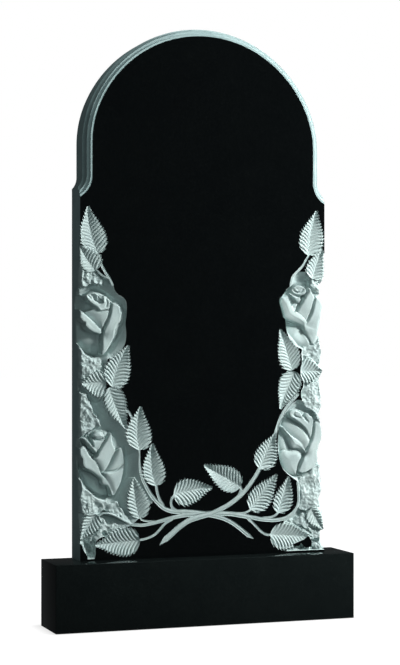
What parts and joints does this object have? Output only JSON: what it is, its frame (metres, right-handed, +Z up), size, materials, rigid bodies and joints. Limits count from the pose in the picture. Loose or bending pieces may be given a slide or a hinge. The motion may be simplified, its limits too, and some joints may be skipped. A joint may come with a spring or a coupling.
{
  "type": "headstone",
  "caption": "Upright round-topped memorial slab of polished black stone with a coved moulding and sunk rose and leaf carving, resting on a plain rectangular plinth",
  "frame": {"origin": "middle of the plinth's underside", "axes": "+Z up, +X to the right of a person who faces the front, front looks towards -Y"},
  "size_m": [0.71, 0.13, 1.35],
  "materials": {
    "polished_granite": "mirror-polished near-black fine-grained granite, with the carving, moulding and narrow sides left unpolished light grey",
    "plinth_granite": "polished near-black fine-grained granite"
  },
  "bodies": {
    "root": {"stele": "polished_granite", "plinth": "plinth_granite"}
  },
  "joints": []
}
